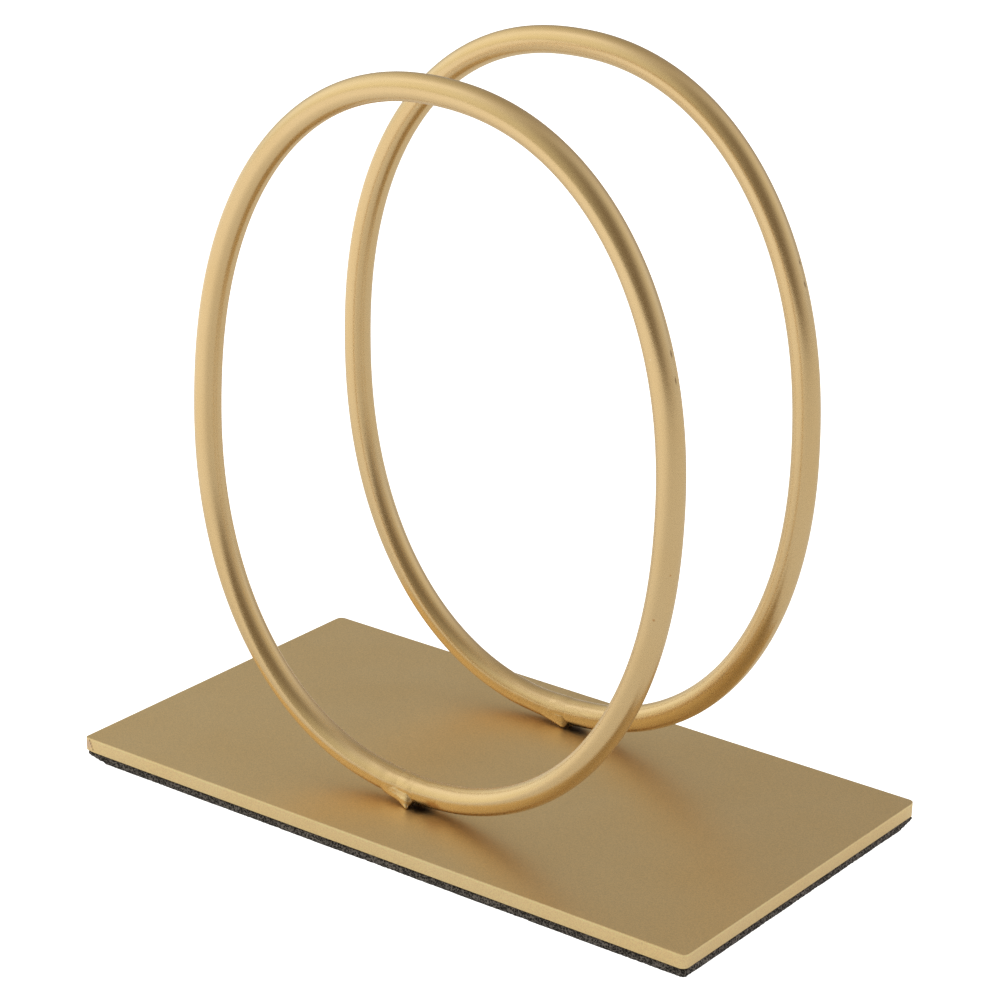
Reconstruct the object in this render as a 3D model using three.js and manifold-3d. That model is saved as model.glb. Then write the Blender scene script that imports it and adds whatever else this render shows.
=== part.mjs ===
// A tabletop double-hoop stand: two upright oval rod hoops welded to a flat steel plate, on a foam pad.
// Millimetres, +Z up, +X along the plate. The origin is on the resting surface, under the plate's middle.

import * as THREE from "three";
import { mergeVertices } from "three/addons/utils/BufferGeometryUtils.js";
import Module from "manifold-3d";

const wasm = await Module();
wasm.setup();

// Base plate
const PLATE_LENGTH = 160;
const PLATE_WIDTH = 90;
const PLATE_THICKNESS = 3.2;
const PLATE_CORNER_RADIUS = 1.5;
const PLATE_SHARP_CORNER_RADIUS = 0.6; // the left-hand front corner
const PLATE_EDGE_ROUND = 0.4;

// Foam pad and the adhesive film that holds it to the plate; each inset is measured in from the plate's edge
const FOAM_THICKNESS = 1.7;
const FOAM_INSET = 0.15;
const FOAM_CORNER_RADIUS = 1;
const FILM_THICKNESS = 0.3;
const FILM_INSET = 0.4;

// Hoops: half sizes are to the rod's centre line
const ROD_DIAMETER = 6;
const HOOP_HALF_WIDTH = 59.8;
const HOOP_HALF_HEIGHT = 76.5;
const HOOP_FULLNESS = 2.18; // 2 is a true ellipse, and more than 2 is fuller at the shoulders
const HOOP_SPACING = 54; // between the two rod centre lines, across the plate
const HOOP_PAIR_OFFSET = 2.3; // how far the pair sits towards the plate's back edge
// footX is where the hoop is welded to the plate, and jointDegrees is how far round the oval that weld lies
// from the hoop's lowest point
const HOOPS = [
  { name: "front", side: -1, footX: -4.1, leanDegrees: -1.8, jointDegrees: -2 },
  { name: "back", side: 1, footX: -2.9, leanDegrees: 1.5, jointDegrees: 0.6 },
];

// Welds: the butt weld closes each hoop at its foot, and the foot weld under it joins the hoop to the plate
const WELD_WIDTH = 2.2; // along the rod
const BUTT_WELD_RISE = 0.3; // how far the butt weld stands proud of the rod
const ROOT_GAP = 0.35; // between the plate's top and the underside of the rod
const FOOT_WELD_CLEARANCE = 0.3; // between the foot weld's cheeks and the butt weld
const FOOT_WELD_HEIGHT = 2.4;
const FOOT_WELD_CHEEK = 0.4; // thickness of a cheek at its top
const FOOT_WELD_TOE = 0.4; // how far the foot spreads beyond its cheeks

// Fineness of the curved surfaces
const HOOP_STEPS = 96;
const ROD_QUARTER_SEGMENTS = 4;
const WELD_SEGMENTS = 12;
const CORNER_SEGMENTS = 6;
const EDGE_SEGMENTS = 2;
const MERGE_TOLERANCE = 1e-4;

// Derived places
const rodRadius = ROD_DIAMETER / 2;
const filmBottom = FOAM_THICKNESS;
const plateBottom = filmBottom + FILM_THICKNESS;
const plateTop = plateBottom + PLATE_THICKNESS;

const goldPaint = () => new THREE.MeshStandardMaterial({ color: 0xb89a66, roughness: 0.42, metalness: 0.85 });
const weldMetal = () => new THREE.MeshStandardMaterial({ color: 0xa98a56, roughness: 0.5, metalness: 0.8 });
const blackFilm = () => new THREE.MeshStandardMaterial({ color: 0x151313, roughness: 0.7, metalness: 0 });
const greyFoam = () => new THREE.MeshStandardMaterial({ color: 0x474342, roughness: 0.95, metalness: 0 });

// The centre line of a hoop: an oval in the XZ plane, leaning in that plane, its lowest point at height zero.
// It is left open a little at its joint, where the rod's two ends meet, and the joint stands over the origin.
class LeaningOval extends THREE.Curve {
  constructor(halfWidth, halfHeight, fullness, lean, jointAngle, opening) {
    super();
    this.halfWidth = halfWidth;
    this.halfHeight = halfHeight;
    this.power = 2 / fullness;
    this.lean = lean;
    this.openAngle = Math.pow(opening / 2 / halfWidth, 1 / this.power);
    const lowestAngle = this.angleOfLowestPoint();
    this.jointAngle = lowestAngle + jointAngle;
    this.start = this.pointAtAngle(lowestAngle).setX(this.pointAtAngle(this.jointAngle).x);
  }

  // The oval's normal points straight down where the ratio of its two slopes matches the lean.
  angleOfLowestPoint() {
    const slope = (Math.tan(Math.abs(this.lean)) * this.halfWidth) / this.halfHeight;
    return -Math.PI / 2 - Math.sign(this.lean) * Math.atan(Math.pow(slope, 1 / (2 - this.power)));
  }

  pointAtAngle(angle) {
    const across = this.halfWidth * signedPower(Math.cos(angle), this.power);
    const up = this.halfHeight * signedPower(Math.sin(angle), this.power);
    const x = across * Math.cos(this.lean) - up * Math.sin(this.lean);
    const z = across * Math.sin(this.lean) + up * Math.cos(this.lean);
    return new THREE.Vector3(x, 0, z);
  }

  getPoint(t, target = new THREE.Vector3()) {
    const sweep = 2 * (Math.PI - this.openAngle);
    const angle = this.jointAngle + this.openAngle + t * sweep;
    return target.copy(this.pointAtAngle(angle)).sub(this.start);
  }
}

function signedPower(value, power) {
  return Math.sign(value) * Math.pow(Math.abs(value), power);
}

function solidFrom(geometry) {
  const bare = geometry.clone();
  bare.deleteAttribute("normal");
  bare.deleteAttribute("uv");
  const merged = mergeVertices(bare, MERGE_TOLERANCE);
  const vertProperties = merged.attributes.position.array;
  const triVerts = Uint32Array.from(merged.index.array);
  return new wasm.Manifold(new wasm.Mesh({ numProp: 3, vertProperties, triVerts }));
}

function geometryFrom(solid) {
  const mesh = solid.getMesh();
  const geometry = new THREE.BufferGeometry();
  geometry.setAttribute("position", new THREE.BufferAttribute(mesh.vertProperties, 3));
  geometry.setIndex(new THREE.BufferAttribute(mesh.triVerts, 1));
  geometry.computeVertexNormals();
  return geometry;
}

function namedMesh(name, geometry, material) {
  const mesh = new THREE.Mesh(geometry, material);
  mesh.name = name;
  return mesh;
}

// The left-hand front corner has its own radius.
function roundedRectangle(length, width, radius, frontLeftRadius = radius) {
  const x = length / 2 - radius;
  const y = width / 2 - radius;
  const frontLeftX = frontLeftRadius - length / 2;
  const frontLeftY = frontLeftRadius - width / 2;
  const shape = new THREE.Shape();
  shape.absarc(x, y, radius, 0, Math.PI / 2);
  shape.absarc(-x, y, radius, Math.PI / 2, Math.PI);
  shape.absarc(frontLeftX, frontLeftY, frontLeftRadius, Math.PI, 1.5 * Math.PI);
  shape.absarc(x, -y, radius, 1.5 * Math.PI, 2 * Math.PI);
  return shape;
}

// A flat sheet with the plate's outline, brought in all round by the inset.
function insetSheet(inset, cornerRadius, thickness) {
  const outline = roundedRectangle(PLATE_LENGTH - 2 * inset, PLATE_WIDTH - 2 * inset, cornerRadius);
  const options = { depth: thickness, bevelEnabled: false, curveSegments: CORNER_SEGMENTS };
  return new THREE.ExtrudeGeometry(outline, options);
}

// A profile drawn across the rod, in Y and Z, extruded along the rod over the weld's width.
function acrossRod(profile) {
  const options = { depth: WELD_WIDTH, bevelEnabled: false, curveSegments: WELD_SEGMENTS };
  const geometry = new THREE.ExtrudeGeometry(profile, options);
  const alongY = new THREE.Vector3(0, 1, 0);
  const alongZ = new THREE.Vector3(0, 0, 1);
  const alongX = new THREE.Vector3(1, 0, 0);
  geometry.applyMatrix4(new THREE.Matrix4().makeBasis(alongY, alongZ, alongX));
  geometry.translate(-WELD_WIDTH / 2, 0, 0);
  return geometry;
}

function foamPad() {
  const geometry = insetSheet(FOAM_INSET, FOAM_CORNER_RADIUS, FOAM_THICKNESS);
  return namedMesh("foam_pad", geometry, greyFoam());
}

function adhesiveFilm() {
  const geometry = insetSheet(FILM_INSET, FOAM_CORNER_RADIUS, FILM_THICKNESS);
  const mesh = namedMesh("adhesive_film", geometry, blackFilm());
  mesh.position.z = filmBottom;
  return mesh;
}

function basePlate() {
  const outline = roundedRectangle(PLATE_LENGTH, PLATE_WIDTH, PLATE_CORNER_RADIUS, PLATE_SHARP_CORNER_RADIUS);
  const geometry = new THREE.ExtrudeGeometry(outline, {
    depth: PLATE_THICKNESS - 2 * PLATE_EDGE_ROUND,
    bevelThickness: PLATE_EDGE_ROUND,
    bevelSize: PLATE_EDGE_ROUND,
    bevelOffset: -PLATE_EDGE_ROUND,
    bevelSegments: EDGE_SEGMENTS,
    curveSegments: CORNER_SEGMENTS,
  });
  const mesh = namedMesh("base_plate", geometry, goldPaint());
  mesh.position.z = plateBottom + PLATE_EDGE_ROUND;
  return mesh;
}

// The rod swept round its oval, with its two ends cut square to leave room for the butt weld.
function hoopGeometry(lean, jointAngle) {
  const opening = WELD_WIDTH / 2;
  const path = new LeaningOval(HOOP_HALF_WIDTH, HOOP_HALF_HEIGHT, HOOP_FULLNESS, lean, jointAngle, opening);
  const section = new THREE.Shape().absarc(0, 0, rodRadius, 0, 2 * Math.PI);
  const rod = new THREE.ExtrudeGeometry(section, {
    steps: HOOP_STEPS,
    curveSegments: 2 * ROD_QUARTER_SEGMENTS,
    extrudePath: path,
  });
  const cut = new THREE.BoxGeometry(WELD_WIDTH, 2 * ROD_DIAMETER, 2 * ROD_DIAMETER);
  return geometryFrom(solidFrom(rod).subtract(solidFrom(cut)));
}

// A round slug a little larger than the rod, ground flat where it meets the foot weld.
function buttWeldGeometry() {
  const radius = rodRadius + BUTT_WELD_RISE;
  const flatHalfAngle = Math.acos(rodRadius / radius);
  const start = -Math.PI / 2 + flatHalfAngle;
  const end = 1.5 * Math.PI - flatHalfAngle;
  return acrossRod(new THREE.Shape().absarc(0, 0, radius, start, end));
}

// A saddle under the rod: a flat bed for the butt weld, and a cheek that climbs each side of it.
function footWeldGeometry() {
  const centre = ROOT_GAP + rodRadius;
  const hollow = rodRadius + BUTT_WELD_RISE + FOOT_WELD_CLEARANCE;
  const bedHalfAngle = Math.acos(rodRadius / hollow);
  const cheekHalfAngle = Math.acos((centre - FOOT_WELD_HEIGHT) / hollow);
  const cheekInner = hollow * Math.sin(cheekHalfAngle);
  const cheekOuter = cheekInner + FOOT_WELD_CHEEK;
  const toe = cheekOuter + FOOT_WELD_TOE;
  const down = -Math.PI / 2;
  const shape = new THREE.Shape();
  shape.moveTo(-toe, 0);
  shape.lineTo(toe, 0);
  shape.lineTo(cheekOuter, FOOT_WELD_HEIGHT);
  shape.absarc(0, centre, hollow, down + cheekHalfAngle, down + bedHalfAngle, true);
  shape.absarc(0, centre, hollow, down - bedHalfAngle, down - cheekHalfAngle, true);
  shape.lineTo(-cheekOuter, FOOT_WELD_HEIGHT);
  return acrossRod(shape);
}

function hoopAssembly({ name, side, footX, leanDegrees, jointDegrees }) {
  const lean = THREE.MathUtils.degToRad(leanDegrees);
  const jointAngle = THREE.MathUtils.degToRad(jointDegrees);
  const hoop = namedMesh(`${name}_hoop`, hoopGeometry(lean, jointAngle), goldPaint());
  const buttWeld = namedMesh(`${name}_butt_weld`, buttWeldGeometry(), weldMetal());
  const footWeld = namedMesh(`${name}_foot_weld`, footWeldGeometry(), weldMetal());
  hoop.position.z = ROOT_GAP + rodRadius;
  buttWeld.position.z = ROOT_GAP + rodRadius;
  const group = new THREE.Group();
  group.add(hoop, buttWeld, footWeld);
  group.position.set(footX, HOOP_PAIR_OFFSET + (side * HOOP_SPACING) / 2, plateTop);
  return group;
}

const stand = new THREE.Group();
stand.add(foamPad(), adhesiveFilm(), basePlate());
HOOPS.forEach((hoop) => stand.add(hoopAssembly(hoop)));

export default stand;
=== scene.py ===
"""A tabletop double-hoop stand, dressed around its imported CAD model.

Two oval rod hoops stand on a flat plate. A butt weld closes each hoop at its foot and a foot weld under
it holds it to the plate, which stands on a foam pad. Lengths are metres in the part's own frame, with
+Z up and +X along the plate; a name that ends in _mm is in millimetres.
"""

import logging
import math
from collections.abc import Callable, Iterable
from dataclasses import dataclass, field
from enum import Enum

import bmesh
import bpy
from mathutils import Matrix, Vector


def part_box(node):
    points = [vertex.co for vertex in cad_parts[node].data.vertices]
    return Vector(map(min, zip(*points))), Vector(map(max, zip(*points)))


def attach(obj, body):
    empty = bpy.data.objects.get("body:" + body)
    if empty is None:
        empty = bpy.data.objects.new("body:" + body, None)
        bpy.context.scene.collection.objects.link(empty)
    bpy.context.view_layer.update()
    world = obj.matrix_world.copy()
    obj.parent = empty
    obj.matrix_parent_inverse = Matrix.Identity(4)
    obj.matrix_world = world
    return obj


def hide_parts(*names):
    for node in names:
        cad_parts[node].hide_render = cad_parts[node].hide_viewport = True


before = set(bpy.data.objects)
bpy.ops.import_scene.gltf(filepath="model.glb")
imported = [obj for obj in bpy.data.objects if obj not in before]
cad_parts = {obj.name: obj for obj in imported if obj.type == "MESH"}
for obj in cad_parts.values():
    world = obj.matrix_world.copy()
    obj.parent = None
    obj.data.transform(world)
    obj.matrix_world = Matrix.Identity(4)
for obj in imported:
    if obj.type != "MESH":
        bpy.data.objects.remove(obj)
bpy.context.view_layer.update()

MM = 0.001
LOG = logging.getLogger("hoop_stand")

Piece = bpy.types.Object
Triple = tuple[float, float, float]


class Slot(Enum):
    """The record's material slots."""

    PLATE = "plate_paint"
    HOOP = "hoop_paint"
    WELD = "weld_paint"
    ADHESIVE = "adhesive"
    FOAM = "foam"


class Element(Enum):
    """What is picked in edit mode."""

    CORNER = "VERT"
    EDGE = "EDGE"
    FACE = "FACE"


# ---------------------------------------------------------------------------------------------------
# Materials


class Wire:
    """One output of a material's nodes, which adds and multiplies like a number."""

    def __init__(self, shader: "Shader", socket: bpy.types.NodeSocket) -> None:
        """Wraps a socket.

        Args:
            shader: The material that the socket belongs to.
            socket: The output socket.
        """
        self.shader = shader
        self.socket = socket

    def _sum(self, operation: str, first: "Wire | float", second: "Wire | float") -> "Wire":
        """Adds a Math node.

        Args:
            operation: The Math node's operation.
            first: Its first value.
            second: Its second value.

        Returns:
            The node's result.
        """
        return self.shader.node("ShaderNodeMath", {"operation": operation}, {0: first, 1: second})

    def __add__(self, other: "Wire | float") -> "Wire":
        """Adds."""
        return self._sum("ADD", self, other)

    def __radd__(self, other: "Wire | float") -> "Wire":
        """Adds, from the right."""
        return self._sum("ADD", other, self)

    def __sub__(self, other: "Wire | float") -> "Wire":
        """Subtracts."""
        return self._sum("SUBTRACT", self, other)

    def __rsub__(self, other: "Wire | float") -> "Wire":
        """Subtracts from a number."""
        return self._sum("SUBTRACT", other, self)

    def __mul__(self, other: "Wire | float") -> "Wire":
        """Multiplies."""
        return self._sum("MULTIPLY", self, other)

    def __rmul__(self, other: "Wire | float") -> "Wire":
        """Multiplies, from the right."""
        return self._sum("MULTIPLY", other, self)


class Shader:
    """A material under construction."""

    def __init__(self, name: str) -> None:
        """Starts an empty material.

        Args:
            name: The material's name.
        """
        self.material = bpy.data.materials.new(name)
        self.material.use_nodes = True
        self.tree = self.material.node_tree
        self.tree.nodes.clear()
        self.place = self.node("ShaderNodeTexCoord", output="Object")

    def node(
        self,
        kind: str,
        settings: dict[str, object] | None = None,
        sockets: dict[int | str, object] | None = None,
        output: int | str = 0,
    ) -> Wire:
        """Adds a node.

        Args:
            kind: The node's type.
            settings: Its properties, which are set first.
            sockets: Values or wires for its inputs.
            output: The output to hand back.

        Returns:
            That output.
        """
        made = self.tree.nodes.new(kind)
        for name, value in (settings or {}).items():
            setattr(made, name, value)
        for key, value in (sockets or {}).items():
            if isinstance(value, Wire):
                self.tree.links.new(value.socket, made.inputs[key])
            else:
                made.inputs[key].default_value = value
        return Wire(self, made.outputs[output])

    def noise(self, size: float, detail: float = 2.0, rough: float = 0.5) -> Wire:
        """A cloudy value from 0 to 1.

        Args:
            size: How wide one cloud is.
            detail: How many finer layers it has.
            rough: How strong those are.

        Returns:
            The value.
        """
        sockets = {"Vector": self.place, "Scale": 1 / size, "Detail": detail, "Roughness": rough}
        return self.node("ShaderNodeTexNoise", {}, sockets)

    def cells(self, size: float, output: str = "Distance") -> Wire:
        """A pattern of cells.

        Args:
            size: How wide one cell is.
            output: Distance to the cell's middle, or the cell's random Color.

        Returns:
            The pattern.
        """
        return self.node("ShaderNodeTexVoronoi", {}, {"Vector": self.place, "Scale": 1 / size}, output)

    def step(self, value: Wire, low: float, high: float) -> Wire:
        """Rises smoothly from 0 to 1.

        Args:
            value: What is measured.
            low: Where the rise starts; above high, the value falls instead.
            high: Where it ends.

        Returns:
            The share from 0 to 1.
        """
        start, end, first, last = (low, high, 0.0, 1.0) if low < high else (high, low, 1.0, 0.0)
        settings = {"interpolation_type": "SMOOTHSTEP"}
        sockets = {0: value, 1: start, 2: end, 3: first, 4: last}
        return self.node("ShaderNodeMapRange", settings, sockets)

    def blend(self, share: Wire | float, first: object, second: object, mode: str = "MIX") -> Wire:
        """Mixes two colours.

        Args:
            share: How much of the second shows.
            first: A colour or a wire.
            second: A colour or a wire.
            mode: How they mix.

        Returns:
            The mixed colour.
        """
        settings = {"data_type": "RGBA", "blend_type": mode}
        sockets = {0: share, 6: colour(first), 7: colour(second)}
        return self.node("ShaderNodeMix", settings, sockets, 2)

    def away_from(self, point: Iterable[float], squash: Triple = (1.0, 1.0, 1.0)) -> Wire:
        """The distance from a point.

        Args:
            point: The point.
            squash: How much each axis counts.

        Returns:
            The distance.
        """
        offset = self.node(
            "ShaderNodeVectorMath", {"operation": "SUBTRACT"}, {0: self.place, 1: tuple(point)}
        )
        scaled = self.node("ShaderNodeVectorMath", {"operation": "MULTIPLY"}, {0: offset, 1: squash})
        return self.node("ShaderNodeVectorMath", {"operation": "LENGTH"}, {0: scaled}, "Value")

    def bump(self, height: Wire, depth: float) -> Wire:
        """Turns a height into a normal.

        Args:
            height: The height, from 0 to 1.
            depth: How high 1 stands.

        Returns:
            The normal.
        """
        return self.node("ShaderNodeBump", {}, {"Strength": 1.0, "Distance": depth, "Height": height})

    def close(self, sockets: dict[str, object]) -> bpy.types.Material:
        """Ends the material with its surface.

        Args:
            sockets: Values or wires for the Principled shader.

        Returns:
            The material.
        """
        surface = self.node("ShaderNodeBsdfPrincipled", {}, sockets)
        self.node_to_output(surface)
        return self.material

    def node_to_output(self, surface: Wire) -> None:
        """Joins a surface to the material's output."""
        output = self.tree.nodes.new("ShaderNodeOutputMaterial")
        self.tree.links.new(surface.socket, output.inputs["Surface"])


def colour(value: object) -> object:
    """A colour with its alpha, or a wire as it is."""
    return value if isinstance(value, Wire) or len(value) == 4 else (*value, 1.0)


@dataclass(frozen=True)
class StainOrShade:
    """A soft-edged mark on the paint, used for real stains and scuffs and for painted shade and reflection.

    Attributes:
        place: Its middle.
        reach: How far it reaches.
        tint: The paint's colour is multiplied by this.
        squash: How much each axis counts in its shape.
        ragged: How much its outline wanders, from 0 to 1.
    """

    place: Vector
    reach: float
    tint: Triple
    squash: Triple = (1.0, 1.0, 1.0)
    ragged: float = 0.35


@dataclass(frozen=True)
class GoldPaint:
    """Metal-flake paint, sprayed on steel.

    Attributes:
        name: The material's name.
        tone: The paint's colour.
        roughness: How matte it is.
        metallic: How much of it is metal.
        grain: How deep the sprayed texture is.
        grain_size: How wide its bumps are.
        flake: How much a flake's colour varies.
        mottle: How much the colour drifts over the piece.
        specks: How bright the few stray flakes are.
        edge_height: Below this height the paint lies on a cut edge.
        edge_highlight: How much lighter it is there, a painted highlight for the cut edge's bright
            reflection.
        rim_highlight: How much lighter still the rim above the cut edge is, a painted highlight on the
            arris.
        stains_and_shade: The marks on it: real scuffs and stains, and painted shade and reflection.
    """

    name: str
    tone: Triple
    roughness: float
    metallic: float = 0.95
    grain: float = 0.02 * MM
    grain_size: float = 0.42 * MM
    flake: float = 0.10
    mottle: float = 0.06
    specks: float = 0.5
    edge_height: float = 0.0
    edge_highlight: float = 0.0
    rim_highlight: float = 0.0
    stains_and_shade: tuple[StainOrShade, ...] = ()

    def make(self) -> bpy.types.Material:
        """Builds the material."""
        paint = Shader(self.name)
        flakes = paint.node("ShaderNodeSeparateColor", {}, {0: paint.cells(0.16 * MM, "Color")})
        drift = paint.noise(17 * MM, 3.0)
        cloud = paint.noise(4.5 * MM, 4.0, 0.6)
        patches = 0.5 * self.mottle * (cloud - 0.5)
        light = 1 + self.flake * (flakes - 0.5) + self.mottle * (drift - 0.5) + patches
        # Painted highlight: the cut edge is lightened for its bright reflection, and the rim above it for
        # the lit arris.
        if self.edge_highlight:
            height = paint.node("ShaderNodeSeparateXYZ", {}, {0: paint.place}, "Z")
            edge = paint.step(height, self.edge_height + 0.12 * MM, self.edge_height - 0.05 * MM)
            rim = edge * paint.step(height, self.edge_height - 0.45 * MM, self.edge_height - 0.2 * MM)
            light = light * (1 + self.edge_highlight * edge + self.rim_highlight * rim)
        warm = tuple(c * k for c, k in zip(self.tone, (1.015, 0.985, 0.92)))
        cool = tuple(c * k for c, k in zip(self.tone, (0.985, 1.015, 1.08)))
        tone = paint.blend(drift, warm, cool)
        tone = self._scaled(paint, tone, light)
        rough = self.roughness + 0.08 * (cloud - 0.5) + 0.06 * (flakes - 0.5)
        stray = paint.step(paint.cells(5.5 * MM), 0.035, 0.02) * self.specks
        tone = paint.blend(stray, tone, (1.0, 0.9, 0.68))
        for mark_or_shade in self.stains_and_shade:
            tone = self._lay_mark_or_shade(paint, tone, mark_or_shade)
        grain = paint.noise(self.grain_size, 3.0, 0.55)
        normal = paint.bump(grain, self.grain)
        return paint.close(
            {"Base Color": tone, "Metallic": self.metallic, "Roughness": rough, "Normal": normal}
        )

    def _scaled(self, paint: Shader, tone: Wire, light: Wire) -> Wire:
        """Brightens a colour by a value.

        Args:
            paint: The material.
            tone: The colour.
            light: The value.

        Returns:
            The brighter or darker colour.
        """
        return paint.node("ShaderNodeVectorMath", {"operation": "SCALE"}, {0: tone, "Scale": light})

    def _lay_mark_or_shade(self, paint: Shader, tone: Wire, mark_or_shade: StainOrShade) -> Wire:
        """Lays a mark on the paint: a real stain, or painted shade.

        Args:
            paint: The material.
            tone: The colour under the mark.
            mark_or_shade: The mark.

        Returns:
            The colour with the mark on it.
        """
        wander = mark_or_shade.ragged * mark_or_shade.reach * 2 * (paint.noise(mark_or_shade.reach * 0.6, 3.0) - 0.5)
        distance = paint.away_from(mark_or_shade.place, mark_or_shade.squash) + wander
        share = paint.step(distance, mark_or_shade.reach, mark_or_shade.reach * 0.25)
        return paint.blend(share, tone, paint.blend(1.0, tone, mark_or_shade.tint, "MULTIPLY"))


@dataclass(frozen=True)
class CutFoam:
    """Dark closed-cell foam, with open cells where it was cut."""

    name: str = "cut_foam"
    dark: Triple = (0.012, 0.011, 0.011)
    pale: Triple = (0.30, 0.275, 0.27)
    cell: float = 0.42 * MM

    def make(self) -> bpy.types.Material:
        """Builds the material."""
        foam = Shader(self.name)
        cells = foam.cells(self.cell)
        crumbs = foam.noise(0.3 * MM, 4.0, 0.7)
        broad = foam.noise(3 * MM, 2.0)
        walls = foam.step(cells + 0.9 * (crumbs - 0.5), 0.2, 0.75)
        tone = foam.blend(walls * (0.55 + 0.9 * (broad - 0.3)), self.dark, self.pale)
        rough = 0.82 + 0.15 * crumbs
        normal = foam.bump(walls, 0.16 * MM)
        return foam.close(
            {"Base Color": tone, "Roughness": rough, "Normal": normal, "Specular IOR Level": 0.25}
        )


@dataclass(frozen=True)
class AdhesiveBlack:
    """The edge of a black double-sided film."""

    name: str = "adhesive_black"
    tone: Triple = (0.010, 0.0075, 0.006)
    dust: Triple = (0.03, 0.024, 0.02)

    def make(self) -> bpy.types.Material:
        """Builds the material."""
        film = Shader(self.name)
        smear = film.noise(1.8 * MM, 4.0, 0.65)
        tone = film.blend(film.step(smear, 0.45, 0.75), self.tone, self.dust)
        rough = 0.5 + 0.3 * smear
        normal = film.bump(film.noise(0.5 * MM, 3.0), 0.05 * MM)
        return film.close({"Base Color": tone, "Roughness": rough, "Normal": normal})


@dataclass(frozen=True)
class FloorPaper:
    """The studio's white paper, bright enough that the stand's shadow hardly shows on it.

    Attributes:
        name: The material's name.
        tone: The paper's colour.
        glow: How brightly it lights the stand, on the side towards the key lights.
        dim: How much of that is left on the other side.
        fade: Where the glow begins and where it is whole, measured from the stand's middle.
        shown_glow: How much brighter it looks.
    """

    name: str = "floor_paper"
    tone: Triple = (0.86, 0.86, 0.86)
    glow: float = 0.50
    dim: float = 0.36
    fade: tuple[float, float] = (0.03, 0.32)
    shown_glow: float = 0.6

    def make(self) -> bpy.types.Material:
        """Builds the material."""
        paper = Shader(self.name)
        fibre = paper.noise(9 * MM, 4.0)
        tone = paper.blend(fibre, self.tone, tuple(c * 1.02 for c in self.tone))
        seen = paper.node("ShaderNodeLightPath", output="Is Camera Ray")
        leftward = {0: paper.place, 1: (-0.81, -0.59, 0.0)}
        across = paper.node("ShaderNodeVectorMath", {"operation": "DOT_PRODUCT"}, leftward, "Value")
        lit = paper.step(across, *self.fade) + seen
        return paper.close(
            {
                "Base Color": tone,
                "Roughness": 0.9,
                "Specular IOR Level": 0.1,
                "Emission Color": paper.blend(lit, (self.dim,) * 3, (1.0, 1.0, 1.0)),
                "Emission Strength": self.glow + self.shown_glow * seen,
            }
        )


# ---------------------------------------------------------------------------------------------------
# The workbench


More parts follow.
